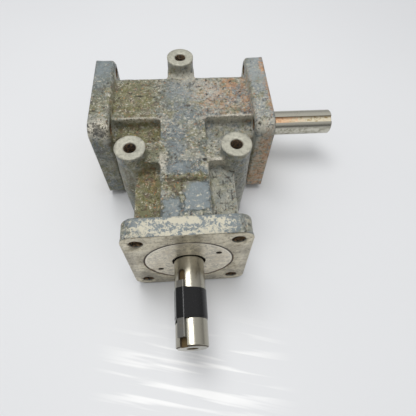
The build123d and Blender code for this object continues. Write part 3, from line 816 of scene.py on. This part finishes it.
@dataclass
class CastSkin:
    """Cast surface of the housing with real lumps, round edges and crisp machined faces."""

    sizes: CastingSizes = field(default_factory=CastingSizes)
    grid: float = 2.3
    start: float = 0.37
    weld: float = 0.001
    flat_angle: float = 0.4
    sharp_angle: float = 42.0
    lump_depth: float = 0.42
    lump_size: float = 8.0
    grain_depth: float = 0.26
    grain_size: float = 3.1
    fade: float = 3.2
    smoothings: int = 5
    cast_mark: int = 0
    cut_mark: int = 1

    def is_cut(self, place: Vector) -> bool:
        """Tell whether a place is in one of the bored hollows.

        Args:
            place: The place, in millimetres.

        Returns:
            Whether it lies in a bore rather than on the cast outside.
        """
        s = self.sizes
        along = place.y - s.front_reach
        hollow = s.cap_r + self.grid / 8
        in_cross = abs(place.x) < s.side_reach + self.weld and math.hypot(along, place.z) < hollow
        in_front = along < self.weld and math.hypot(place.x, place.z) < hollow
        return in_cross or in_front

    def roughness_at(self, place: Vector) -> float:
        """Share of the relief at a place.

        Args:
            place: The place, in millimetres.

        Returns:
            0 on and beside what was machined, and 1 well away from it.
        """
        s = self.sizes
        corner = s.bolt_half_spacing
        gaps = [place.y, s.side_reach - abs(place.x)]
        for x, y in s.bosses:
            away = math.hypot(place.x - x, place.y - y)
            gaps.append(away - s.boss_hole_r)
            gaps.append(max(s.boss_height - abs(place.z), away - s.boss_hole_r * 3))
        behind = place.y - s.front_reach
        side_gap = math.hypot(abs(behind) - corner, abs(place.z) - corner) - s.bolt_hole_r
        front_gap = math.hypot(abs(place.x) - corner, abs(place.z) - corner) - s.bolt_hole_r
        if abs(place.x) > s.side_reach - s.flange_thick - self.fade:
            gaps.append(side_gap)
        if place.y < s.flange_thick + self.fade:
            gaps.append(front_gap)
        share = max(0.0, min(1.0, min(gaps) / self.fade))
        return share * share * (3 - 2 * share)

    def between_flanges(self, place: Vector) -> bool:
        """Tell whether a place is on the body and clear of its machined ends.

        Args:
            place: The place, in millimetres.

        Returns:
            True where it is.
        """
        s = self.sizes
        behind = place.y > s.flange_thick + self.fade
        inside = abs(place.x) < s.side_reach - s.flange_thick - self.fade
        return behind and inside and abs(place.z) < s.boss_height - self.fade

    def relief_at(self, place: Vector) -> float:
        """Depth of the rough surface below the smooth solid's.

        Args:
            place: The place, in millimetres.

        Returns:
            The depth in millimetres.
        """
        lumps = noise.fractal(place / self.lump_size, 1.0, 2.0, 2)
        grain = noise.fractal(place / self.grain_size + Vector((7.0, 3.0, 5.0)), 0.9, 2.1, 3)
        depth = self.lump_depth * (0.5 + lumps / 2) + self.grain_depth * (0.5 + grain / 2)
        return max(0.0, depth)

    def slice(self, mesh: bmesh.types.BMesh) -> None:
        """Cut the cast faces along a grid of planes, so that they can take the relief.

        Args:
            mesh: Mesh in the making.
        """
        low = [min(v.co[axis] for v in mesh.verts) for axis in range(3)]
        high = [max(v.co[axis] for v in mesh.verts) for axis in range(3)]
        for axis in range(3):
            normal = Vector([float(axis == other) for other in range(3)])
            level = low[axis] + self.grid * self.start * MM
            while level < high[axis]:
                faces = [face for face in mesh.faces if face.material_index == self.cast_mark]
                geometry = [*mesh.verts, *mesh.edges, *faces]
                bmesh.ops.bisect_plane(
                    mesh,
                    geom=geometry,
                    dist=self.weld * MM,
                    plane_co=normal * level,
                    plane_no=normal,
                )
                level += self.grid * MM

    def build(self, solid: bpy.types.Object) -> bpy.types.Object:
        """Make the skin from the housing's solid.

        Args:
            solid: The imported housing.

        Returns:
            The skin, which stands for the solid.
        """
        mesh = bmesh.new()
        mesh.from_mesh(solid.data)
        bmesh.ops.remove_doubles(mesh, verts=mesh.verts, dist=self.weld * MM)
        flat = math.radians(self.flat_angle)
        bmesh.ops.dissolve_limit(mesh, angle_limit=flat, verts=mesh.verts, edges=mesh.edges)
        for face in mesh.faces:
            hollow = self.is_cut(face.calc_center_median() / MM)
            face.material_index = self.cut_mark if hollow else self.cast_mark
        self.slice(mesh)
        bmesh.ops.triangulate(mesh, faces=mesh.faces)
        rough = {}
        for vertex in mesh.verts:
            if all(face.material_index == self.cast_mark for face in vertex.link_faces):
                share = self.roughness_at(vertex.co / MM)
                if share > 0:
                    rough[vertex] = share
        loose = [vertex for vertex in rough if self.between_flanges(vertex.co / MM)]
        for _ in range(self.smoothings):
            bmesh.ops.smooth_vert(
                mesh, verts=loose, factor=0.5, use_axis_x=True, use_axis_y=True, use_axis_z=True
            )
        mesh.normal_update()
        for vertex, share in rough.items():
            depth = self.relief_at(vertex.co / MM) * share
            vertex.co -= vertex.normal * depth * MM
        for face in mesh.faces:
            face.material_index = 0
            face.smooth = True
        data = bpy.data.meshes.new("housing_skin")
        mesh.to_mesh(data)
        mesh.free()
        data.set_sharp_from_angle(angle=math.radians(self.sharp_angle))
        skin = bpy.data.objects.new("housing_skin", data)
        bpy.context.scene.collection.objects.link(skin)
        LOG.info("housing_skin: %d faces", len(data.polygons))
        return skin


@dataclass(frozen=True)
class BareSteel:
    """Bright steel with the marks of its cutting and a little dirt."""

    name: str
    colour: Colour = srgb(205, 202, 192)
    stain: Colour = srgb(120, 104, 78)
    roughness: float = 0.24
    stained: float = 0.35
    grain: Grain = Grain.GROUND
    axis: Axis = Axis.FRONT
    front_reach: float = 117.5
    bare_end: float = 400.0

    def along_and_round(self, bench: Bench) -> tuple[Signal, Signal, Signal]:
        """Place along the piece's line and across it.

        Args:
            bench: Material in the making.

        Returns:
            The distance along the line, and the two distances across it.
        """
        if self.axis is Axis.FRONT:
            return bench.y, bench.x, bench.z
        return bench.x, bench.y - self.front_reach, bench.z

    def relief(self, bench: Bench) -> Signal:
        """Marks that the cutting or grinding left.

        Args:
            bench: Material in the making.

        Returns:
            Their height.
        """
        _, across, up = self.along_and_round(bench)
        if self.grain is Grain.TURNED:
            radius = (across * across + up * up) ** 0.5
            return bench.maths("SINE", radius * 8.0) * 0.5 + bench.noise(2.0, 5.0, 0.8)
        if self.grain is Grain.DRAWN:
            return bench.noise(0.8, 4.0, 0.8, stretch=(3.0, 0.15, 3.0))
        stretch = (0.5, 12.0, 0.5) if self.axis is Axis.FRONT else (12.0, 0.5, 0.5)
        return bench.noise(1.6, 4.0, 0.7, stretch=stretch)

    def depth_mask(self, bench: Bench, low: float, high: float) -> Signal:
        """Find the metal that lies nearer to the shaft's line than a radius.

        Args:
            bench: Material in the making.
            low: Radius, in millimetres, where the mask is still full.
            high: Radius where it has faded out.

        Returns:
            The mask, which stops short of the shaft's end face.
        """
        along, across, up = self.along_and_round(bench)
        radius = (across * across + up * up) ** 0.5
        inside = 1 - bench.ramp(abs(along), self.bare_end - 0.3, self.bare_end - 0.05)
        return (1 - bench.ramp(radius, low, high)) * inside

    def make(self) -> bpy.types.Material:
        """Build the finish.

        Returns:
            The material.
        """
        bench = Bench(self.name)
        cloud = bench.noise(7.0, 5.0, 0.65, seed=9)
        speck = bench.noise(1.1, 4.0, 0.8, seed=2)
        marks = self.relief(bench)
        dirty = bench.ramp(cloud + (speck - 0.5) * 0.7, 0.52, 0.72) * self.stained
        colour = bench.blend(dirty, self.colour, self.stain)
        colour = bench.shade(colour, marks * 0.16 + 0.9)
        rough = self.roughness + dirty * 0.3 + (marks - 0.5) * 0.12
        normal = bench.bump(marks, 0.01, 0.35)
        return bench.finish(colour, rough, 1.0 - dirty * 0.5, normal)


@dataclass(frozen=True)
class ShaftSteel(BareSteel):
    """Ground shaft steel, mottled below, with rust left on the floor of its keyway and painted
    shade on its walls.
    """

    floor_rust: Colour = srgb(120, 92, 52)
    floor_dark: Colour = srgb(88, 62, 40)
    floor_pale: Colour = srgb(234, 230, 206)
    floor_olive: Colour = srgb(176, 154, 96)
    # Dark brown of the painted shade on the keyway's walls.
    keyway_wall_shade: Colour = srgb(58, 46, 34)
    mottle_light: Colour = srgb(214, 211, 198)
    mottle_dark: Colour = srgb(138, 135, 118)
    low_side_mottle: float = 0.0
    pale_end: float = 0.0

    def make(self) -> bpy.types.Material:
        """Build the finish.

        Returns:
            The material of a shaft.
        """
        bench = Bench(self.name)
        cloud = bench.noise(7.0, 5.0, 0.65, seed=9)
        speck = bench.noise(1.1, 4.0, 0.8, seed=2)
        marks = self.relief(bench)
        below = self.depth_mask(bench, 9.1, 9.4)
        floor = self.depth_mask(bench, 7.75, 8.05)
        dirty = bench.ramp(cloud + (speck - 0.5) * 0.7, 0.56, 0.76) * self.stained
        colour = bench.blend(dirty, self.colour, self.stain)
        along, _, up = self.along_and_round(bench)
        mottle = bench.noise(3.6, 5.0, 0.7, seed=17, warp=0.6)
        tint = bench.blend(bench.ramp(mottle, 0.42, 0.56), self.mottle_dark, self.mottle_light)
        # The shaft's lower side is blended to a light and dark mottle.
        under = (1 - bench.ramp(up, 1.5, 4.5)) * self.low_side_mottle
        colour = bench.blend(under, colour, tint)
        rusty = bench.blend(bench.ramp(speck, 0.36, 0.5), self.floor_dark, self.floor_rust)
        pale = bench.ramp(abs(along) + (mottle - 0.5) * 60, 76.0, 100.0) * self.pale_end
        olive = bench.ramp(mottle + (speck - 0.5) * 0.4, 0.52, 0.6)
        spotted = bench.blend(olive, self.floor_pale, self.floor_olive)
        rusty = bench.blend(pale, rusty, spotted)
        # Painted shade: the keyway's walls, below the shaft's skin, take dark brown.
        colour = bench.blend(below * 0.9, bench.shade(colour, marks * 0.12 + 0.92), self.keyway_wall_shade)
        colour = bench.blend(floor * 0.9, colour, rusty)
        rough = self.roughness + below * 0.4 + dirty * 0.25 + (marks - 0.5) * 0.1
        normal = bench.bump(marks, 0.01, 0.3)
        return bench.finish(colour, rough, (1.0 - dirty * 0.4) * (1 - below * 0.85), normal)


@dataclass(frozen=True)
class CapSteel(BareSteel):
    """Turned cap with painted shade in the groove round it, in its holes and on its sides, a
    painted highlight on its chamfer, and a brown outer ring that is darker towards the bottom.
    """

    rim_r: float = 27.75
    side_reach: float = 63.5
    # Pale colour of the painted highlight on the chamfer inside the cap's edge.
    chamfer_highlight: Colour = srgb(246, 240, 226)
    brown: Colour = srgb(104, 78, 50)
    # Near-black brown painted as the shade in the groove round the cap and in its holes.
    groove: Colour = srgb(48, 40, 30)

    def make(self) -> bpy.types.Material:
        """Build the finish.

        Returns:
            The material of a cap.
        """
        bench = Bench(self.name)
        along, across, up = self.along_and_round(bench)
        radius = (across * across + up * up) ** 0.5
        reach = 0.0 if self.axis is Axis.FRONT else self.side_reach
        below = bench.ramp(abs(abs(along) - reach), 0.1, 0.5)
        recess_shade = bench.most(bench.ramp(radius, self.rim_r - 0.1, self.rim_r + 0.2), below)
        cloud = bench.noise(8.0, 5.0, 0.65, seed=9)
        scratch = bench.noise(3.4, 5.0, 0.78, seed=2, warp=0.6)
        marks = self.relief(bench)
        dirty = bench.ramp(cloud + (scratch - 0.5) * 0.8, 0.5, 0.62) * self.stained
        colour = bench.blend(dirty, self.colour, self.stain)
        worn = bench.ramp(scratch, 0.44, 0.56)
        colour = bench.shade(colour, marks * 0.14 + worn * 0.4 + (cloud - 0.5) * 0.9 + 0.72)
        # Painted highlight: a pale band on the chamfer just inside the cap's edge.
        chamfer_highlight = bench.ramp(radius, self.rim_r - 1.2, self.rim_r - 0.9)
        colour = bench.blend(chamfer_highlight * 0.6, colour, self.chamfer_highlight)
        # Brown blended over the cap's outer ring, darker towards the bottom.
        low = 1 - bench.ramp(up, -14.0, 6.0)
        stained = bench.ramp(radius + cloud * 3, self.rim_r + 0.7, self.rim_r + 1.3) * low
        colour = bench.blend(stained * 0.85, colour, self.brown)
        # Painted shade: the groove round the cap and the faces set back from its front take
        # near-black brown.
        colour = bench.blend(recess_shade * 0.92, colour, self.groove)
        rough = self.roughness + dirty * 0.3 + (scratch - 0.5) * 0.3
        metallic = 1.0 - bench.most(dirty * 0.5, recess_shade * 0.8)
        return bench.finish(colour, rough, metallic, bench.bump(marks, 0.012, 0.4))


@dataclass(frozen=True)
class SealRubber:
    """Matt black seal rubber with a dusty bloom."""

    name: str = "seal_rubber"
    black: Colour = srgb(28, 28, 28)
    dust: Colour = srgb(62, 60, 56)

    def make(self) -> bpy.types.Material:
        """Build the finish.

        Returns:
            The material of a seal.
        """
        bench = Bench(self.name)
        bloom = bench.noise(3.0, 4.0, 0.7)
        colour = bench.blend(bench.ramp(bloom, 0.45, 0.75) * 0.5, self.black, self.dust)
        return bench.finish(colour, 0.55 + bloom * 0.2, 0.0, bench.bump(bloom, 0.03, 0.4))


@dataclass(frozen=True)
class BlackTape:
    """Glossy black tape, stretched so that it creases a little."""

    name: str = "black_tape"
    black: Colour = srgb(17, 17, 18)
    dust: Colour = srgb(52, 52, 52)
    gloss: float = 0.35

    def make(self) -> bpy.types.Material:
        """Build the finish.

        Returns:
            The material of the tape.
        """
        bench = Bench(self.name)
        crease = bench.noise(4.0, 3.0, 0.5, stretch=(0.5, 2.0, 0.5))
        specks = bench.noise(1.0, 5.0, 0.8, seed=7)
        colour = bench.blend(bench.ramp(specks, 0.60, 0.72) * 0.4, self.black, self.dust)
        rough = 0.2 + bench.ramp(specks, 0.45, 0.8) * 0.2
        normal = bench.bump(crease, 0.25, 0.4)
        return bench.finish(colour, rough, 0.0, normal, Specular_IOR_Level=self.gloss)


class Dresser:
    """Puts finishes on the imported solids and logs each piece."""

    def __init__(self, nodes: dict[str, bpy.types.Object]) -> None:
        """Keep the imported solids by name."""
        self.nodes = nodes

    def dress(self, material: bpy.types.Material, *names: str) -> None:
        """Give solids a finish.

        Args:
            material: The finish.
            *names: Names of the solids.
        """
        for name in names:
            solid = self.nodes[name]
            solid.data.materials.clear()
            solid.data.materials.append(material)
            LOG.info("%s: %s", name, material.name)


@dataclass
class Casing:
    """Housing, caps and seals."""

    sizes: CastingSizes = field(default_factory=CastingSizes)
    caps: tuple[str, ...] = ("front_bearing_cap",)
    side_caps: tuple[str, ...] = ("right_bearing_cap", "left_blind_cap")
    seals: tuple[str, ...] = ("front_shaft_seal", "right_shaft_seal")
    cap_colour: Colour = srgb(232, 225, 208)

    def build(self, dresser: Dresser) -> None:
        """Dress the casing, with a rough skin in place of the housing's smooth solid.

        Args:
            dresser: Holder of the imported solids.
        """
        worn = WornCasting(self.sizes).make()
        skin = CastSkin(self.sizes).build(dresser.nodes["housing"])
        skin.data.materials.append(worn)
        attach(skin, "housing")
        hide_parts("housing")
        cap: dict[str, Any] = {
            "colour": self.cap_colour,
            "roughness": 0.4,
            "grain": Grain.TURNED,
            "stained": 0.3,
        }
        dresser.dress(CapSteel("cap_face_front", **cap).make(), *self.caps)
        side = CapSteel("cap_face_side", axis=Axis.RIGHT, **cap)
        dresser.dress(side.make(), *self.side_caps)
        dresser.dress(SealRubber().make(), *self.seals)


@dataclass
class Bearings:
    """The four tapered roller bearings."""

    places: tuple[str, ...] = ("front_outer", "front_inner", "right", "left")
    rings: tuple[str, ...] = ("cup", "cone", "rollers")
    race: Colour = srgb(208, 208, 206)
    cage: Colour = srgb(150, 146, 136)

    def build(self, dresser: Dresser) -> None:
        """Dress the bearings.

        Args:
            dresser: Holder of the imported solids.
        """
        race = BareSteel("bearing_steel", colour=self.race, roughness=0.12, stained=0.1).make()
        cage = BareSteel("cage_steel", colour=self.cage, roughness=0.4, stained=0.2).make()
        for place in self.places:
            dresser.dress(race, *(f"{place}_bearing_{name}" for name in self.rings))
            dresser.dress(cage, f"{place}_bearing_cage")


@dataclass
class ShaftLine:
    """One shaft with what turns with it."""

    shaft: str
    axis: Axis
    gear: str
    key: str
    rings: tuple[str, ...]
    others: tuple[str, ...] = ()
    floor_rust: Colour = srgb(98, 82, 48)
    bare_end: float = 52.9
    low_side_mottle: float = 0.0
    pale_end: float = 0.0
    steel: Colour = srgb(166, 162, 149)
    floor_dark: Colour = srgb(88, 62, 40)
    gear_steel: Colour = srgb(150, 150, 150)
    key_steel: Colour = srgb(190, 190, 188)
    spring_steel: Colour = srgb(70, 70, 74)

    def build(self, dresser: Dresser) -> None:
        """Dress the shaft and its pieces.

        Args:
            dresser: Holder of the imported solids.
        """
        side = self.axis.value
        shaft = ShaftSteel(
            f"ground_shaft_{side}",
            colour=self.steel,
            roughness=0.22,
            stained=0.3,
            axis=self.axis,
            floor_rust=self.floor_rust,
            bare_end=self.bare_end,
            low_side_mottle=self.low_side_mottle,
            pale_end=self.pale_end,
            floor_dark=self.floor_dark,
        )
        dresser.dress(shaft.make(), self.shaft)
        gear = BareSteel(
            f"gear_steel_{side}", colour=self.gear_steel, roughness=0.3, axis=self.axis
        )
        dresser.dress(gear.make(), self.gear, *self.others)
        key = BareSteel(f"key_steel_{side}", colour=self.key_steel, grain=Grain.DRAWN)
        dresser.dress(key.make(), self.key)
        ring = BareSteel(
            f"spring_steel_{side}", colour=self.spring_steel, roughness=0.38, stained=0.1
        )
        dresser.dress(ring.make(), *self.rings)


@dataclass
class TapeTurn:
    """One turn of the tape round the front shaft and its key.

    Lengths are in millimetres and angles in degrees. under and over are how far its
    inside and its skin stand off the metal, low and high are its edges along the shaft,
    first and last its ends round it, and skew is how far its edges slope.
    """

    under: float
    over: float
    low: float
    high: float
    first: float
    last: float
    skew: float = 0.0


@dataclass
class OutputKey:
    """The key in the front keyway and the tape that holds it, in millimetres."""

    key: str = "front_output_key"
    tape: str = "key_tape"
    shaft_r: float = 9.545
    key_top: float = 11.925
    key_half: float = 2.4
    key_angle: float = 121.0
    key_steel: Colour = srgb(142, 141, 136)
    corner_round: float = 0.35
    ripple: float = 0.025
    slope_start: float = 8.0
    slope_span: float = 30.0
    crease_angle: float = 35.0
    round_steps: int = 144
    long_steps: int = 10
    turns: tuple[TapeTurn, ...] = (
        TapeTurn(0.0, 0.16, 21.0, 37.5, -170.0, 178.0, skew=1.6),
        TapeTurn(0.17, 0.33, 19.9, 36.4, -176.0, 166.0),
    )

    def wound_radius(self, angle: float) -> float:
        """Radius of a tight winding over the shaft and the key.

        Args:
            angle: Angle in degrees from the key's middle.

        Returns:
            The radius in millimetres.
        """
        corner = math.hypot(self.key_top, self.key_half)
        corner_angle = math.atan2(self.key_half, self.key_top)
        touch = corner_angle + math.acos(self.shaft_r / corner)
        turn = abs(math.radians((angle + 180) % 360 - 180))
        if turn > touch:
            return self.shaft_r
        side = self.shaft_r / math.cos(touch - turn)
        top = self.key_top / math.cos(turn)
        gap = abs(side - top)
        soft = max(0.0, self.corner_round - gap) ** 2 / (4 * self.corner_round)
        return min(side, top) - soft

    def edge_shift(self, angle: float) -> float:
        """Share of a turn's skew at an angle: 0 right of the key and 1 left of it."""
        return max(0.0, min(1.0, (angle - self.slope_start) / self.slope_span))

    def turn_points(self, turn: TapeTurn) -> list[list[Vector]]:
        """Place the points of a turn.

        Args:
            turn: The turn of tape.

        Returns:
            Columns of points, each out along the skin and back along the inside.
        """
        columns = []
        for step in range(self.round_steps + 1):
            angle = turn.first + (turn.last - turn.first) * step / self.round_steps
            around = math.radians(self.key_angle + angle)
            out = Vector((math.cos(around), 0.0, math.sin(around)))
            low = turn.low + turn.skew * self.edge_shift(angle) * 0.4
            high = turn.high + turn.skew * self.edge_shift(angle)
            radius = self.wound_radius(angle)
            column = []
            for side, stand in ((1, turn.over), (-1, turn.under)):
                for row in range(self.long_steps + 1):
                    share = row / self.long_steps if side > 0 else 1 - row / self.long_steps
                    along = low + (high - low) * share
                    wave = noise.noise(Vector((around * 3, along / 3, turn.under)))
                    lift = max(0.0, stand + self.ripple * wave) if side > 0 else stand
                    column.append((out * (radius + lift) - Vector((0.0, along, 0.0))) * MM)
            columns.append(column)
        return columns

    def build_tape(self) -> bpy.types.Object:
        """Wind the tape's turns as one object.

        Returns:
            The tape.
        """
        points: list[Vector] = []
        faces: list[tuple[int, ...]] = []
        for turn in self.turns:
            columns = self.turn_points(turn)
            size = len(columns[0])
            base = len(points)
            points.extend(point for column in columns for point in column)
            for index in range(len(columns) - 1):
                here = base + index * size
                for row in range(size):
                    beyond = (row + 1) % size
                    near, far = here + row, here + beyond
                    faces.append((near, near + size, far + size, far))
            last = base + (len(columns) - 1) * size
            faces.append(tuple(range(base, base + size)))
            faces.append(tuple(range(last + size - 1, last - 1, -1)))
        data = bpy.data.meshes.new("tape_turns")
        data.from_pydata(points, [], faces)
        data.polygons.foreach_set("use_smooth", [True] * len(faces))
        data.set_sharp_from_angle(angle=math.radians(self.crease_angle))
        tape = bpy.data.objects.new("tape_turns", data)
        bpy.context.scene.collection.objects.link(tape)
        return tape

    def build(self, dresser: Dresser) -> None:
        """Dress the key and wind the tape.

        Args:
            dresser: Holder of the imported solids.
        """
        steel = BareSteel("bright_key", colour=self.key_steel, roughness=0.4, grain=Grain.DRAWN)
        dresser.dress(steel.make(), self.key)
        tape = self.build_tape()
        tape.data.materials.append(BlackTape().make())
        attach(tape, "front_shaft")
        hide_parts(self.tape)


@dataclass
class Studio:
    """Pale floor, soft light and the camera."""

    floor_height: float = -39.5
    floor_side: float = 3000.0
    camera_place: tuple[float, float, float] = (2.01, -81.75, 207.66)
    camera_right: tuple[float, float, float] = (0.9975, -0.0669, 0.0232)
    camera_up: tuple[float, float, float] = (0.0462, 0.8624, 0.5042)
    lens: float = 29.53
    sensor: float = 36.0
    streak_slope: float = -14.0
    floor_low: Colour = srgb(221, 222, 224)
    floor_high: Colour = srgb(227, 228, 229)
    # Colour of the painted reflections on the floor.
    reflection_streak: Colour = srgb(251, 251, 250)
    daylight: Colour = (0.985, 0.99, 1.0)
    lamp_place: tuple[float, float, float] = (-80.0, 170.0, 900.0)
    lamp_aim: tuple[float, float, float] = (0.0, 60.0, 0.0)
    lamp_sides: tuple[float, float] = (360.0, 640.0)
    lamp_power: float = 4.7

    def floor(self) -> None:
        """Lay the floor, slightly glossy, as wide as the view needs."""
        half = self.floor_side / 2 * MM
        z = self.floor_height * MM
        mesh = bpy.data.meshes.new("studio_floor")
        corners = [(-half, -half, z), (half, -half, z), (half, half, z), (-half, half, z)]
        mesh.from_pydata(corners, [], [(0, 1, 2, 3)])
        ground = bpy.data.objects.new("studio_floor", mesh)
        bpy.context.scene.collection.objects.link(ground)
        mesh.materials.append(self.floor_finish())

    def floor_finish(self) -> bpy.types.Material:
        """Pale smooth board with faint bright bands in front of the box: painted reflections of
        light.

        Returns:
            The material of the floor.
        """
        bench = Bench("studio_floor")
        tone = bench.noise(240.0, 2.0, 0.5)
        colour = bench.blend(tone, self.floor_low, self.floor_high)
        slope = math.radians(self.streak_slope)
        along = bench.x * math.cos(slope) + bench.y * math.sin(slope)
        across = bench.y * math.cos(slope) - bench.x * math.sin(slope)
        scaled = {0: along * 0.011, 1: across * 0.19, 2: 0.0}
        place = bench.node("ShaderNodeCombineXYZ", inputs=scaled)
        inputs = {"Vector": place, "Scale": 1.0, "Detail": 2.0, "Roughness": 0.5}
        bands = bench.node("ShaderNodeTexNoise", {"normalize": True}, inputs)
        near = (1 - bench.ramp(bench.y, -55.0, -25.0)) * bench.ramp(bench.y, -100.0, -75.0)
        beside = (1 - bench.ramp(bench.x, 25.0, 70.0)) * bench.ramp(bench.x, -70.0, -30.0)
        # Painted reflections: faint bright bands on the floor in front of the box.
        painted_reflections = bench.ramp(bands, 0.50, 0.62) * near * beside
        colour = bench.blend(painted_reflections * 0.85, colour, self.reflection_streak)
        return bench.finish(colour, 0.4, 0.0, None, Specular_IOR_Level=0.3)

    def lamp(self) -> None:
        """Hang one rectangular soft lamp over the box."""
        data = bpy.data.lights.new("overhead", "AREA")
        data.shape = "RECTANGLE"
        data.size, data.size_y = (side * MM for side in self.lamp_sides)
        data.energy = self.lamp_power
        lamp = bpy.data.objects.new("overhead", data)
        lamp.location = Vector(self.lamp_place) * MM
        direction = (Vector(self.lamp_aim) - Vector(self.lamp_place)) * MM
        lamp.rotation_euler = direction.to_track_quat("-Z", "Y").to_euler()
        bpy.context.scene.collection.objects.link(lamp)

    def sky(self) -> None:
        """Fill the room with pale light, dim on the left and low in front."""
        world = bpy.data.worlds.new("studio")
        bench = Bench("studio", world)
        right = bench.ramp(bench.x, -0.7, 0.6)
        above = bench.ramp(bench.z, 0.0, 0.8)
        before = (1 - bench.ramp(bench.y, -0.9, -0.4)) * (1 - bench.ramp(bench.z, 0.1, 0.5))
        level = 0.26 + right * 0.16 + above * 0.34
        colour = bench.shade(self.daylight, level * (1 - before * 0.7))
        light = bench.node("ShaderNodeBackground", {}, {"Color": colour, "Strength": 1.0})
        out = bench.tree.nodes.new("ShaderNodeOutputWorld")
        bench.tree.links.new(light.socket, out.inputs["Surface"])
        bpy.context.scene.world = world

    def camera(self) -> None:
        """Stand the camera where the photograph was taken."""
        data = bpy.data.cameras.new("camera")
        data.lens = self.lens
        data.sensor_width = self.sensor
        data.clip_start = 0.01
        data.clip_end = 20.0
        right = Vector(self.camera_right).normalized()
        up = Vector(self.camera_up).normalized()
        back = right.cross(up)
        turn = Matrix((right, up, back)).transposed().to_4x4()
        camera = bpy.data.objects.new("camera", data)
        camera.matrix_world = Matrix.Translation(Vector(self.camera_place) * MM) @ turn
        bpy.context.scene.collection.objects.link(camera)
        bpy.context.scene.camera = camera

    def build(self) -> None:
        """Set up the studio."""
        self.floor()
        self.lamp()
        self.sky()
        self.camera()
        bpy.context.scene.view_settings.view_transform = "Standard"


def corners(box: tuple[Vector, Vector]) -> list[list[float]]:
    """Two corners of a box as plain lists."""
    return [list(corner) for corner in box]


def main() -> None:
    """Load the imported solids, dress every sub-assembly and set up the studio."""
    logging.basicConfig(level=logging.INFO, format="%(name)s %(message)s")
    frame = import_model()
    dresser = Dresser(frame["nodes"])
    parts = [
        Casing(),
        Bearings(),
        ShaftLine(
            "front_shaft",
            Axis.FRONT,
            "front_bevel_pinion",
            "pinion_key",
            ("pinion_retaining_ring", "front_bearing_retaining_ring"),
            ("front_spacer_sleeve",),
        ),
        ShaftLine(
            "cross_shaft",
            Axis.RIGHT,
            "cross_bevel_gear",
            "cross_gear_key",
            ("cross_gear_retaining_ring", "left_bearing_retaining_ring"),
            floor_rust=srgb(246, 206, 164),
            bare_end=120.6,
            low_side_mottle=0.6,
            pale_end=0.85,
            steel=srgb(192, 189, 176),
            floor_dark=srgb(206, 128, 74),
        ),
        OutputKey(),
    ]
    for part in parts:
        part.build(dresser)
    Studio().build()


if __name__ == "__main__":
    main()
